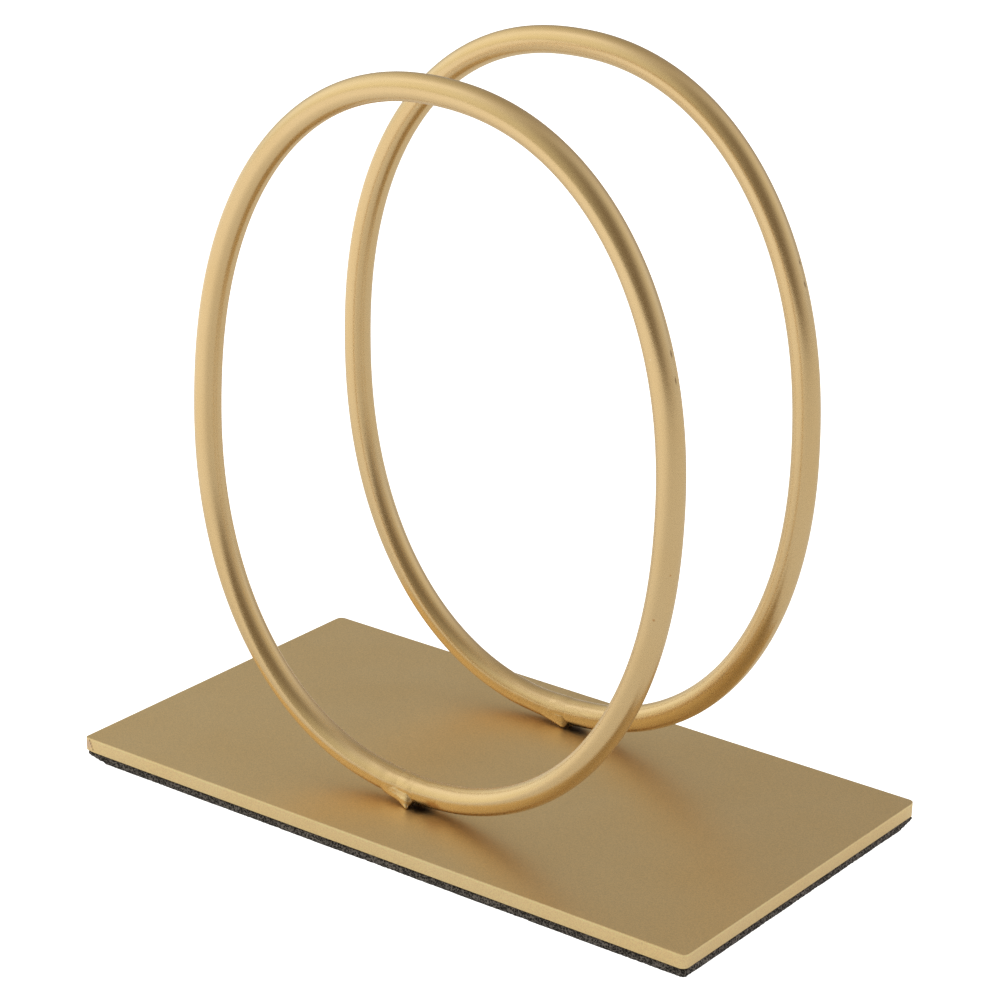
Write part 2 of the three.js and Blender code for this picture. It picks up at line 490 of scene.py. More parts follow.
class Bench:
    """Shapes one piece at a time with Blender's own operators."""

    @staticmethod
    def begin(name: str) -> Piece:
        """Takes the primitive that was just added, settles it and opens it in edit mode.

        Args:
            name: The piece's name.

        Returns:
            The piece.
        """
        piece = bpy.context.object
        piece.name = name
        piece.data.name = name
        bpy.ops.object.transform_apply(location=True, rotation=True, scale=True)
        bpy.ops.object.mode_set(mode="EDIT")
        return piece

    @staticmethod
    def clear() -> None:
        """Leaves edit mode and deselects everything."""
        if bpy.context.object is not None and bpy.context.object.mode != "OBJECT":
            bpy.ops.object.mode_set(mode="OBJECT")
        bpy.ops.object.select_all(action="DESELECT")

    @staticmethod
    def pick(element: Element, wanted: Callable[[Vector, Vector], bool]) -> int:
        """Selects by place and direction.

        Args:
            element: Corners, edges or faces.
            wanted: Is asked with an element's middle and its normal, or an edge's direction.

        Returns:
            How many are selected.
        """
        bpy.ops.mesh.select_mode(type=element.value)
        bpy.ops.mesh.select_all(action="DESELECT")
        data = bpy.context.object.data
        mesh = bmesh.from_edit_mesh(data)
        mesh.normal_update()
        if element is Element.CORNER:
            found = [v for v in mesh.verts if wanted(v.co, v.normal)]
        elif element is Element.EDGE:
            ends = [(e, e.verts[0].co, e.verts[1].co) for e in mesh.edges]
            found = [e for e, a, b in ends if wanted((a + b) / 2, (b - a).normalized())]
        else:
            found = [f for f in mesh.faces if wanted(f.calc_center_median(), f.normal)]
        for item in found:
            item.select = True
        mesh.select_flush_mode()
        bmesh.update_edit_mesh(data)
        return len(found)

    @staticmethod
    def extrude(offset: Vector) -> None:
        """Extrudes what is selected and moves the new part."""
        bpy.ops.mesh.extrude_region_move(TRANSFORM_OT_translate={"value": tuple(offset)})

    @staticmethod
    def stretch(factors: Iterable[float], centre: Iterable[float]) -> None:
        """Scales what is selected about a point."""
        bpy.ops.transform.resize(value=tuple(factors), center_override=tuple(centre))

    @staticmethod
    def turn(angle: float, centre: Iterable[float], axis: str = "Y") -> None:
        """Turns what is selected about a point, right-handed about the axis."""
        bpy.ops.transform.rotate(value=-angle, orient_axis=axis, center_override=tuple(centre))

    @staticmethod
    def split(count: int) -> None:
        """Cuts each selected edge into equal lengths."""
        bpy.ops.mesh.subdivide(number_cuts=count - 1)

    @staticmethod
    def finish(piece: Piece, angle: float = math.radians(35)) -> None:
        """Closes seams, turns the faces outwards and smooths the piece.

        Args:
            piece: The piece, which is active.
            angle: Edges sharper than this stay sharp.
        """
        if piece.mode != "EDIT":
            bpy.ops.object.mode_set(mode="EDIT")
        bpy.ops.mesh.select_all(action="SELECT")
        bpy.ops.mesh.remove_doubles(threshold=1e-7)
        bpy.ops.mesh.normals_make_consistent(inside=False)
        bpy.ops.object.mode_set(mode="OBJECT")
        bpy.ops.object.shade_smooth_by_angle(angle=angle)

    @staticmethod
    def modify(piece: Piece, kind: str, **settings: object) -> None:
        """Adds a modifier and applies it.

        Args:
            piece: The piece, which is active.
            kind: The modifier's type.
            **settings: Its properties.
        """
        if piece.mode != "OBJECT":
            bpy.ops.object.mode_set(mode="OBJECT")
        modifier = piece.modifiers.new(kind.lower(), kind)
        for name, value in settings.items():
            setattr(modifier, name, value)
        bpy.ops.object.modifier_apply(modifier=modifier.name)

    @staticmethod
    def smooth(piece: Piece, levels: int) -> None:
        """Applies a subdivision surface."""
        Bench.modify(piece, "SUBSURF", levels=levels, render_levels=levels)

    @staticmethod
    def roughen(piece: Piece, size: float, depth: float, where: str = "") -> None:
        """Raises and sinks the surface in a cloudy pattern.

        Args:
            piece: The piece.
            size: How wide one cloud is.
            depth: How far apart the highest and lowest places are.
            where: The vertex group that it acts on, or all of the piece.
        """
        clouds = bpy.data.textures.new(f"{piece.name}_clouds", "CLOUDS")
        clouds.noise_scale = size
        clouds.noise_depth = 2
        settings = {"texture": clouds, "texture_coords": "LOCAL", "strength": depth, "mid_level": 0.5}
        Bench.modify(piece, "DISPLACE", vertex_group=where, **settings)

    @staticmethod
    def weigh(piece: Piece, name: str, share: Callable[[Vector], float]) -> None:
        """Makes a vertex group.

        Args:
            piece: The piece.
            name: The group's name.
            share: Gives a corner's weight from its place.
        """
        if piece.mode != "OBJECT":
            bpy.ops.object.mode_set(mode="OBJECT")
        group = piece.vertex_groups.new(name=name)
        for corner in piece.data.vertices:
            weight = share(corner.co)
            if weight > 0:
                group.add([corner.index], weight, "REPLACE")


def fit_out(piece: Piece, node: str, finish: bpy.types.Material) -> None:
    """Dresses a finished piece and puts it in the CAD node's stead.

    Args:
        piece: The piece.
        node: The CAD node that it replaces.
        finish: Its material.
    """
    piece.vertex_groups.clear()
    piece.data.materials.clear()
    piece.data.materials.append(finish)
    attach(piece, "root")
    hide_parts(node)
    LOG.info("%s: %d faces, stands for %s", piece.name, len(piece.data.polygons), node)


# ---------------------------------------------------------------------------------------------------
# The rod's line


@dataclass(frozen=True)
class Station:
    """A place along a rod: the section's middle, its heading in the XZ plane and its radius."""

    place: Vector
    heading: float
    radius: float


@dataclass(frozen=True)
class Oval:
    """A hoop's centre line: an oval in the XZ plane that leans in that plane.

    Attributes:
        foot: Where the rod's two ends meet, on the centre line.
        lean: How far the oval leans.
        joint: How far round from its lowest point the two ends meet.
        half_width: Half its width.
        half_height: Half its height.
        fullness: 2 is a true ellipse, and more is fuller at the shoulders.
        radius: The rod's radius.
        lump: How uneven the rod is near its joint.
        lump_size: How wide one lump is.
        lump_reach: How far from the joint the rod is uneven.
    """

    foot: Vector
    lean: float
    joint: float
    half_width: float = 59.8 * MM
    half_height: float = 76.5 * MM
    fullness: float = 2.18
    radius: float = 2.99 * MM
    lump: float = 0.4 * MM
    lump_size: float = 5.5 * MM
    lump_reach: float = 18 * MM

    def make_uneven(self, piece: Piece) -> None:
        """Gives a finished shape the unevenness that welding left near the joint.

        Args:
            piece: The rod, or a weld that lies on it.
        """
        Bench.weigh(piece, "near_joint", self._nearness)
        Bench.roughen(piece, self.lump_size, self.lump, "near_joint")

    def _nearness(self, place: Vector) -> float:
        """How close a place is to the joint, from 0 to 1."""
        return max(0.0, 1 - (place - self.foot).length / self.lump_reach) ** 0.7

    def raw(self, angle: float) -> Vector:
        """The point at an angle round the oval, about the oval's middle."""
        power = 2 / self.fullness
        across = self.half_width * math.copysign(abs(math.cos(angle)) ** power, math.cos(angle))
        up = self.half_height * math.copysign(abs(math.sin(angle)) ** power, math.sin(angle))
        return Matrix.Rotation(-self.lean, 3, "Y") @ Vector((across, 0, up))

    def joint_angle(self) -> float:
        """The angle round the oval where the rod's ends meet."""
        return self.lowest_angle() + self.joint

    def lowest_angle(self) -> float:
        """The angle round the oval of its lowest point."""
        slope = math.tan(abs(self.lean)) * self.half_width / self.half_height
        reach = math.atan(slope ** (1 / (2 - 2 / self.fullness)))
        return -math.pi / 2 - math.copysign(reach, self.lean)

    def point(self, angle: float) -> Vector:
        """The point at an angle round the oval, in its place on the stand."""
        start = Vector((self.raw(self.joint_angle()).x, 0, self.raw(self.lowest_angle()).z))
        return self.raw(angle) - start + self.foot

    def heading(self, angle: float) -> float:
        """The direction of travel at an angle round the oval, in the XZ plane."""
        ahead = self.point(angle + 1e-4) - self.point(angle - 1e-4)
        return math.atan2(ahead.z, ahead.x)

    def flank(self, degrees: float, around: float, radius: float) -> Vector:
        """A place on the rod's surface.

        Args:
            degrees: How far round the oval, from its right-hand side.
            around: How far round the rod's section, from the outside of the bend towards the front.
            radius: The distance from the rod's centre line.

        Returns:
            The place.
        """
        angle = math.radians(degrees)
        heading = self.heading(angle)
        outward = Vector((math.sin(heading), 0, -math.cos(heading)))
        side = math.radians(around)
        return self.point(angle) + radius * (outward * math.cos(side) + Vector((0, -math.sin(side), 0)))

    def stations(self, opening: float, count: int) -> list[Station]:
        """Places along the rod at equal distances, from one end to the other.

        Args:
            opening: The gap between the rod's ends.
            count: How many places.

        Returns:
            The places, from the right of the gap round to its left.
        """
        gap = (opening / 2 / self.half_width) ** (self.fullness / 2)
        first = self.joint_angle() + gap
        sweep = 2 * (math.pi - gap)
        fine = 40 * count
        points = [self.point(first + sweep * i / fine) for i in range(fine + 1)]
        travelled = [0.0]
        for before, after in zip(points, points[1:]):
            travelled.append(travelled[-1] + (after - before).length)
        made, at = [], 0
        for i in range(count + 1):
            wanted = travelled[-1] * i / count
            while at < fine and travelled[at] < wanted:
                at += 1
            angle = first + sweep * at / fine
            made.append(Station(points[at], self.heading(angle), self.radius))
        return made


def sweep_rod(name: str, stations: list[Station], sides: int) -> Piece:
    """Draws a round section along a line.

    Args:
        name: The piece's name.
        stations: The line, with the section's radius at each place.
        sides: The section's number of sides.

    Returns:
        The piece, closed at both ends and in edit mode.
    """
    swell = 3 / (2 + math.cos(2 * math.pi / sides))  # a smoothed ring draws in by this much
    start = stations[0]
    Bench.clear()
    bpy.ops.mesh.primitive_circle_add(
        vertices=sides,
        radius=start.radius * swell,
        fill_type="NGON",
        location=start.place,
        rotation=(0, math.pi / 2 - start.heading, 0),
    )
    piece = Bench.begin(name)
    bpy.ops.mesh.select_mode(type="FACE")
    bpy.ops.mesh.select_all(action="SELECT")
    for before, after in zip(stations, stations[1:]):
        Bench.extrude(after.place - before.place)
        turned = (after.heading - before.heading + math.pi) % (2 * math.pi) - math.pi
        if abs(turned) > 1e-7:
            Bench.turn(-turned, after.place)
        if after.radius != before.radius:
            grown = after.radius / before.radius
            Bench.stretch((grown, grown, grown), after.place)
    return piece


# ---------------------------------------------------------------------------------------------------
# The stand


@dataclass
class BasePlate:
    """The steel plate, with eased edges and one clipped corner.

    Attributes:
        low: Its lowest corner.
        high: Its highest corner.
        corner_radius: The radius of its upright corners.
        sharp_radius: The radius of the left-hand front corner.
        arris: How much its long edges are eased.
        soft_arris: How much the right-hand edge is eased.
        ring: How wide the flat border is that keeps the large faces flat.
        clip_top: How far the clipped corner reaches along the front edge, at the top.
        clip_bottom: How far it reaches at the bottom.
        clip_depth: How deep it is at the corner, at the bottom.
    """

    low: Vector
    high: Vector
    corner_radius: float = 1.5 * MM
    sharp_radius: float = 0.6 * MM
    arris: float = 0.4 * MM
    soft_arris: float = 0.95 * MM
    ring: float = 0.18 * MM
    clip_top: float = 1.1 * MM
    clip_bottom: float = 2.6 * MM
    clip_depth: float = 0.4 * MM

    def build(self, finish: bpy.types.Material) -> Piece:
        """Models and dresses the plate.

        Args:
            finish: Its paint.

        Returns:
            The plate.
        """
        size = self.high - self.low
        Bench.clear()
        bpy.ops.mesh.primitive_cube_add(size=1, location=(self.low + self.high) / 2, scale=size)
        plate = Bench.begin("plate")
        Bench.pick(Element.EDGE, lambda middle, way: abs(way.z) > 0.9 and not self._is_sharp(middle))
        bpy.ops.mesh.bevel(offset=self.corner_radius, segments=8, profile=0.5)
        reach = self.sharp_radius
        Bench.pick(Element.EDGE, lambda middle, way: abs(way.z) > 0.9 and self._is_sharp(middle, reach))
        bpy.ops.mesh.bevel(offset=self.sharp_radius, segments=5, profile=0.5)
        self._ease_edges(plate)
        self._flatten_faces()
        self._clip_corner()
        Bench.finish(plate, math.radians(40))
        fit_out(plate, "base_plate", finish)
        return plate

    def _is_sharp(self, place: Vector, reach: float = 1 * MM) -> bool:
        """Whether a place is at the left-hand front corner."""
        return place.x < self.low.x + reach and place.y < self.low.y + reach

    def _ease_edges(self, plate: Piece) -> None:
        """Eases the rims, more on the right-hand side.

        Args:
            plate: The plate in edit mode.
        """
        share = self.arris / self.soft_arris
        Bench.pick(Element.EDGE, lambda middle, way: abs(way.z) < 0.1)
        bpy.ops.transform.edge_bevelweight(value=share)
        inner = self.high.x - self.corner_radius * 0.5
        Bench.pick(Element.EDGE, lambda middle, way: abs(way.z) < 0.1 and middle.x > inner)
        bpy.ops.transform.edge_bevelweight(value=1 - share)
        Bench.modify(plate, "BEVEL", limit_method="WEIGHT", width=self.soft_arris, segments=4)
        bpy.ops.object.mode_set(mode="EDIT")

    def _flatten_faces(self) -> None:
        """Gives each large flat face a narrow border."""
        reach = self.high - self.low
        flats = [
            lambda c, n: abs(n.z) > 0.999,
            lambda c, n: abs(n.y) > 0.999 and abs(c.x) < reach.x / 4,
            lambda c, n: abs(n.x) > 0.999 and abs(c.y) < reach.y / 4,
        ]
        bpy.ops.mesh.select_all(action="SELECT")
        bpy.ops.mesh.remove_doubles(threshold=0.02 * MM)
        for wanted in flats:
            Bench.pick(Element.FACE, wanted)
            bpy.ops.mesh.inset(thickness=self.ring, use_individual=True)

    def _clip_corner(self) -> None:
        """Cuts the slanting facet off the left-hand front corner."""
        start = Vector((self.low.x + self.clip_top, self.low.y, self.high.z - self.arris))
        foot = Vector((self.low.x + self.clip_bottom, self.low.y, self.low.z))
        side = Vector((self.low.x, self.low.y + self.clip_depth, self.low.z))
        outward = (foot - start).cross(side - foot).normalized()
        if outward.y > 0:
            outward = -outward
        bpy.ops.mesh.select_all(action="SELECT")
        bpy.ops.mesh.bisect(plane_co=start, plane_no=outward, use_fill=True, clear_outer=True)
        bpy.ops.mesh.mark_sharp()


@dataclass
class Hoop:
    """One oval hoop of bent rod, a little lumpy where its ends were welded.

    Attributes:
        name: Front or back.
        line: Its centre line.
        opening: The gap between the rod's ends, which the butt weld fills.
        count: How many places the rod is drawn through.
        sides: The section's number of sides before smoothing.
        end_border: How wide the flat border is that keeps the rod's ends flat.
    """

    name: str
    line: Oval
    opening: float = 2.2 * MM
    count: int = 144
    sides: int = 16
    end_border: float = 0.25 * MM

    def build(self, finish: bpy.types.Material) -> Piece:
        """Models and dresses the hoop.

        Args:
            finish: Its paint.

        Returns:
            The hoop.
        """
        hoop = sweep_rod(f"{self.name}_rod_hoop", self.line.stations(self.opening, self.count), self.sides)
        Bench.pick(Element.FACE, self._is_rod_end)
        bpy.ops.mesh.inset(thickness=self.end_border)
        Bench.smooth(hoop, 2)
        self.line.make_uneven(hoop)
        Bench.finish(hoop)
        fit_out(hoop, f"{self.name}_hoop", finish)
        return hoop

    def _is_rod_end(self, middle: Vector, normal: Vector) -> bool:
        """Whether a face is one of the rod's two flat ends."""
        offset = middle - self.line.foot
        beside = abs(offset.x) < self.opening / 2 + 0.5 * MM
        return beside and abs(offset.z) < self.line.radius / 2 and abs(normal.x) > 0.9


@dataclass
class ButtWeld:
    """The bead that closes a hoop: a low swelling of the rod, rippled and dressed by hand.

    Attributes:
        name: Front or back.
        line: The hoop's centre line.
        half_length: How far it runs along the rod on each side.
        rise: How far it stands proud of the rod.
        sink: How far its ends lie under the rod's surface.
        ripple: How deep its ripples are.
    """

    name: str
    line: Oval
    half_length: float = 5.0 * MM
    rise: float = 0.07 * MM
    sink: float = 0.10 * MM
    ripple: float = 0.09 * MM

    def build(self, finish: bpy.types.Material) -> Piece:
        """Models and dresses the bead.

        Args:
            finish: Its paint.

        Returns:
            The bead.
        """
        bead = sweep_rod(f"{self.name}_butt_bead", self._stations(24), 20)
        Bench.smooth(bead, 2)
        self.line.make_uneven(bead)
        Bench.roughen(bead, 2.2 * MM, self.ripple)
        self._trim_underside(bead)
        Bench.finish(bead)
        fit_out(bead, f"{self.name}_butt_weld", finish)
        return bead

    def _stations(self, count: int) -> list[Station]:
        """Places along the bead, thickest in the middle.

        Args:
            count: How many places.

        Returns:
            The places.
        """
        middle = self.line.joint_angle()
        pace = (self.line.point(middle + 1e-3) - self.line.point(middle - 1e-3)).length / 2e-3
        reach = self.half_length / pace
        made = []
        for i in range(count + 1):
            share = 2 * i / count - 1
            angle = middle + share * reach
            swell = math.cos(share * math.pi / 2) ** 2
            radius = self.line.radius - self.sink + (self.sink + self.rise) * swell
            made.append(Station(self.line.point(angle), self.line.heading(angle), radius))
        return made

    def _trim_underside(self, bead: Piece) -> None:
        """Keeps the bead clear of the plate."""
        floor = self.line.foot.z - self.line.radius - self.rise * 0.5
        for corner in bead.data.vertices:
            corner.co.z = max(corner.co.z, floor)


@dataclass(frozen=True)
class Run:
    """A run of weld metal, laid drop by drop in a straight line.

    Attributes:
        start: Its first drop's middle, from the middle of the rod at its joint.
        end: Its last drop's middle.
        radii: The radius of its first and its last drop.
        spacing: How far apart the drops are.
    """

    start: Triple
    end: Triple
    radii: tuple[float, float]
    spacing: float = 0.35 * MM

    def drops(self) -> list[tuple[Vector, float]]:
        """The middle and the radius of each drop."""
        start, end = Vector(self.start) * MM, Vector(self.end) * MM
        first, last = self.radii
        count = math.ceil((end - start).length / self.spacing)
        shares = [i / count for i in range(count + 1)]
        return [(start.lerp(end, share), (first + (last - first) * share) * MM) for share in shares]


@dataclass
class FootWeld:
    """The weld under a hoop: metal that hugs the rod's underside and runs down to the plate.

    Attributes:
        name: Front or back.
        line: The hoop's centre line.
        floor: The height of the plate's top.
        runs: The runs of weld metal that it is made of.
        voxel: How finely the drops are fused.
        lumps: How uneven it is.
    """

    name: str
    line: Oval
    floor: float
    runs: tuple[Run, ...]
    voxel: float = 0.13 * MM
    lumps: float = 0.10 * MM

    def build(self, finish: bpy.types.Material) -> Piece:
        """Models and dresses the weld.

        Args:
            finish: Its paint.

        Returns:
            The weld.
        """
        Bench.clear()
        drops = [drop for run in self.runs for drop in run.drops()]
        place, radius = drops[0]
        bpy.ops.mesh.primitive_ico_sphere_add(subdivisions=4, radius=radius, location=self.line.foot + place)
        weld = Bench.begin(f"{self.name}_foot_bead")
        for place, radius in drops[1:]:
            bpy.ops.mesh.primitive_ico_sphere_add(
                subdivisions=4, radius=radius, location=self.line.foot + place
            )
        Bench.modify(weld, "REMESH", mode="VOXEL", voxel_size=self.voxel, use_smooth_shade=True)
        Bench.modify(weld, "SMOOTH", factor=0.5, iterations=40)
        self.line.make_uneven(weld)
        Bench.roughen(weld, 1.3 * MM, self.lumps)
        self._level_underside(weld)
        Bench.finish(weld, math.radians(60))
        fit_out(weld, f"{self.name}_foot_weld", finish)
        return weld

    def _level_underside(self, weld: Piece) -> None:
        """Stops the weld at the plate's top."""
        for corner in weld.data.vertices:
            corner.co.z = max(corner.co.z, self.floor)


@dataclass
class Underlay:
    """A thin sheet under the plate, cut by hand.

    Attributes:
        name: The piece's name.
        node: The CAD node that it stands for.
        slot: Its material slot; not used.
        low: Its lowest corner.
        high: Its highest corner.
        corner_radius: The radius of its corners.
        rows: How many rows its cut edge has.
        crown: How far the cut edge swells out at half height.
        tuck: How far it draws in at its top and bottom.
        tear: How ragged the cut is.
        wander: How far the cut strays from a straight line.
        worn: How much thinner it is at two of its corners.
        wear_steps: How much of that each step takes, and how far from the corner the step reaches.
        long_steps: How many lengths the long sides are cut into, as two factors.
        short_steps: The same for the short sides.
    """

    name: str
    node: str
    slot: Slot
    low: Vector
    high: Vector
    corner_radius: float
    rows: int
    crown: float
    tuck: float
    tear: float
    wander: float
    worn: float = 0.0
    wear_steps: tuple[tuple[float, float], ...] = (
        (0.25, 5.0 * MM),
        (0.25, 3.6 * MM),
        (0.25, 2.4 * MM),
        (0.3, 1.4 * MM),
    )
    long_steps: tuple[int, int] = (20, 19)
    short_steps: tuple[int, int] = (14, 14)

    def build(self, finish: bpy.types.Material) -> Piece:
        """Models and dresses the sheet.

        Args:
            finish: Its material.

        Returns:
            The sheet.
        """
        sheet = self._outline()
        self._raise_walls()
        self._lift_corners()
        for way in (1, -1):
            Bench.pick(Element.FACE, lambda c, n, way=way: n.z * way > 0.99)
            bpy.ops.mesh.inset(thickness=0.5 * MM)
        Bench.weigh(sheet, "cut", self._cut_share)
        Bench.roughen(sheet, 7 * MM, self.wander, "cut")
        Bench.roughen(sheet, 0.55 * MM, self.tear, "cut")
        Bench.roughen(sheet, 0.28 * MM, self.tear * 0.6, "cut")
        self._keep_height(sheet)
        Bench.finish(sheet, math.radians(70))
        fit_out(sheet, self.node, finish)
        return sheet

    def _outline(self) -> Piece:
        """Draws the outline at the bottom, with round corners and short lengths."""
        size = self.high - self.low
        middle = (self.low + self.high) / 2
        Bench.clear()
        place = (middle.x, middle.y, self.low.z)
        bpy.ops.mesh.primitive_plane_add(size=1, location=place)
        bpy.context.object.scale = (size.x, size.y, 1)
        sheet = Bench.begin(self.name)
        bpy.ops.mesh.select_all(action="SELECT")
        bpy.ops.mesh.bevel(offset=self.corner_radius, segments=18, profile=0.5, affect="VERTICES")
        bpy.ops.mesh.delete(type="ONLY_FACE")
        for axis, steps in ((0, self.long_steps), (1, self.short_steps)):
            for count in steps:
                Bench.pick(Element.EDGE, lambda middle, way, axis=axis: abs(way[axis]) > 0.99999)
                Bench.split(count)
        bpy.ops.mesh.select_all(action="SELECT")
        bpy.ops.mesh.edge_face_add()
        return sheet

    def _raise_walls(self) -> None:
        """Extrudes the outline upwards in rows, swelling it at half height."""
        height = self.high.z - self.low.z
        middle = (self.low + self.high) / 2
        half = (self.high - self.low) / 2
        bpy.ops.mesh.select_mode(type="FACE")
        bpy.ops.mesh.select_all(action="SELECT")
        before = self._swell(0.0)
        Bench.stretch(((half.x + before) / half.x, (half.y + before) / half.y, 1), middle)
        for row in range(1, self.rows + 1):
            after = self._swell(row / self.rows)
            Bench.extrude(Vector((0, 0, height / self.rows)))
            grown = ((half.x + after) / (half.x + before), (half.y + after) / (half.y + before), 1)
            Bench.stretch(grown, middle)
            before = after

    def _lift_corners(self) -> None:
        """Thins the sheet towards the two corners where it was pulled off the knife."""
        for worn in (self.low, self.high):
            for lift, near in self.wear_steps:
                Bench.pick(
                    Element.CORNER,
                    lambda c, n, worn=worn, near=near: (c.xy - worn.xy).length < near,
                )
                shrink = 1 - self.worn * lift
                Bench.stretch((1, 1, shrink), (worn.x, worn.y, self.high.z))

    def _swell(self, share: float) -> float:
        """How far the cut edge stands out at a share of the height."""
        return (self.crown + self.tuck) * math.sin(math.pi * share) ** 0.6 - self.tuck

    def _cut_share(self, place: Vector) -> float:
        """How much of the raggedness a place takes: all of it on the cut edge, none inside."""
        half = (self.high - self.low) / 2
        middle = (self.low + self.high) / 2
        reach = max(abs(place.x - middle.x) - half.x, abs(place.y - middle.y) - half.y)
        corner = Vector((abs(place.x - middle.x) - half.x, abs(place.y - middle.y) - half.y))
        inside = corner.x < -self.corner_radius or corner.y < -self.corner_radius
        if inside:
            edge = -reach
        else:
            round_middle = Vector((-self.corner_radius, -self.corner_radius))
            edge = self.corner_radius - (corner - round_middle).length
        return 1.0 if edge < 0.3 * MM + self.tuck else 0.0

    def _keep_height(self, sheet: Piece) -> None:
        """Keeps the sheet between its two flat faces, and under the plate."""
        proud = 0.1 * MM
        for corner in sheet.data.vertices:
            corner.co.x = min(max(corner.co.x, self.low.x - proud), self.high.x + proud)
            corner.co.y = min(max(corner.co.y, self.low.y - proud), self.high.y + proud)
            corner.co.z = min(max(corner.co.z, self.low.z), self.high.z)


# ---------------------------------------------------------------------------------------------------
# The studio


@dataclass(frozen=True)
class Panel:
    """A softly lit panel of the light tent.

    Attributes:
        azimuth: Where it stands, in degrees from the front towards the right.
        elevation: How high it stands, in degrees.
        strength: How bright its middle is.
        tint: Its colour.
        spread: How wide it is, in radians.
    """

    azimuth: float
    elevation: float
    strength: float
    tint: Triple = (1.0, 1.0, 1.0)
    spread: float = 0.35

    def way(self) -> Triple:
        """The direction from the stand to it."""
        across, up = math.radians(self.azimuth), math.radians(self.elevation)
        return math.sin(across) * math.cos(up), -math.cos(across) * math.cos(up), math.sin(up)


@dataclass
class Studio:
    """The floor, the light tent and the camera, whose place and lens were found by a separate fit.

    Attributes:
        panels: The tent's lit panels.
        cloth: The brightness of the rest of the tent.
        azimuth: Where the camera stands, from the front towards the right.
        elevation: How high it stands.
        roll: How far it is rolled.
        distance: How far away it is.
        lens_mm: The lens's focal length.
        aim: The point that it looks at.
    """

    panels: tuple[Panel, ...]
    cloth: Triple = (0.17, 0.13, 0.085)
    azimuth: float = math.radians(35.924)
    elevation: float = math.radians(20.756)
    roll: float = math.radians(1.627)
    distance: float = 716.86 * MM
    lens_mm: float = 121.235
    aim: Vector = field(default_factory=lambda: Vector((-0.688, 0, 68.029)) * MM)

    def build(self) -> None:
        """Sets up the studio."""
        self._lay_floor()
        self._hang_tent()
        self._stand_camera()
        view = bpy.context.scene.view_settings
        view.view_transform = "Standard"
        view.look = "None"
        LOG.info("studio: a tent with %d lit panels", len(self.panels))

    def _lay_floor(self) -> None:
        """Lays the white paper."""
        Bench.clear()
        bpy.ops.mesh.primitive_circle_add(vertices=96, radius=6.0, fill_type="NGON")
        floor = Bench.begin("floor")
        bpy.ops.mesh.select_mode(type="FACE")
        bpy.ops.mesh.select_all(action="SELECT")
        bpy.ops.mesh.inset(thickness=4.0)
        bpy.ops.object.mode_set(mode="OBJECT")
        floor.data.materials.append(FloorPaper().make())

    def _hang_tent(self) -> None:
        """Lights the studio with the tent's panels, and shows the camera plain white."""
        world = bpy.data.worlds.new("light_tent")
        world.use_nodes = True
        bpy.context.scene.world = world
        tree = world.node_tree
        tree.nodes.clear()
        link = tree.links.new
        place = tree.nodes.new("ShaderNodeTexCoord")
        light = tree.nodes.new("ShaderNodeRGB").outputs[0]
        light.default_value = (*self.cloth, 1)
        for panel in self.panels:
            facing = tree.nodes.new("ShaderNodeVectorMath")
            facing.operation = "DOT_PRODUCT"
            facing.inputs[1].default_value = panel.way()
            link(place.outputs["Generated"], facing.inputs[0])
            falloff = tree.nodes.new("ShaderNodeMath")
            falloff.operation = "MULTIPLY_ADD"
            falloff.inputs[1].default_value = panel.spread**-2
            falloff.inputs[2].default_value = -(panel.spread**-2)
            link(facing.outputs["Value"], falloff.inputs[0])
            glow = tree.nodes.new("ShaderNodeMath")
            glow.operation = "EXPONENT"
            link(falloff.outputs[0], glow.inputs[0])
            lit = tree.nodes.new("ShaderNodeVectorMath")
            lit.operation = "MULTIPLY_ADD"
            lit.inputs[1].default_value = tuple(c * panel.strength for c in panel.tint)
            link(glow.outputs[0], lit.inputs[0])
            link(light, lit.inputs[2])
            light = lit.outputs[0]
        tent = tree.nodes.new("ShaderNodeBackground")
        link(light, tent.inputs["Color"])
        plain = tree.nodes.new("ShaderNodeBackground")
        plain.inputs["Color"].default_value = (1, 1, 1, 1)
        path = tree.nodes.new("ShaderNodeLightPath")
        choice = tree.nodes.new("ShaderNodeMixShader")
        link(path.outputs["Is Camera Ray"], choice.inputs[0])
        link(tent.outputs[0], choice.inputs[1])
        link(plain.outputs[0], choice.inputs[2])
        output = tree.nodes.new("ShaderNodeOutputWorld")
        link(choice.outputs[0], output.inputs["Surface"])

    def _stand_camera(self) -> None:
        """Stands the camera in front of the stand."""
        across, lift = (math.sin(self.azimuth), math.cos(self.azimuth)), math.sin(self.elevation)
        level = math.cos(self.elevation)
        back = Vector((across[0] * level, -across[1] * level, lift))
        right = Vector((across[1], across[0], 0))
        up = back.cross(right)
        tilted_right = right * math.cos(self.roll) + up * math.sin(self.roll)
        tilted_up = up * math.cos(self.roll) - right * math.sin(self.roll)
        turned = Matrix((tilted_right, tilted_up, back)).transposed()
        lens = bpy.data.cameras.new("camera")
        lens.lens = self.lens_mm
        lens.sensor_width = 36.0
        lens.clip_start = 0.01
        lens.clip_end = 50.0
        camera = bpy.data.objects.new("camera", lens)
        camera.matrix_world = Matrix.Translation(self.aim + back * self.distance) @ turned.to_4x4()
        bpy.context.scene.collection.objects.link(camera)
        bpy.context.scene.camera = camera


# ---------------------------------------------------------------------------------------------------
# Putting it together

ROD_RISE = 3.35 * MM  # from the plate's top to the rod's centre line at its joint
ROD_TONE = (0.80, 0.59, 0.32)
PLATE_TONE = (0.80, 0.61, 0.34)
WARM = (1.04, 1.0, 0.66)
COOL = (0.88, 1.0, 1.18)
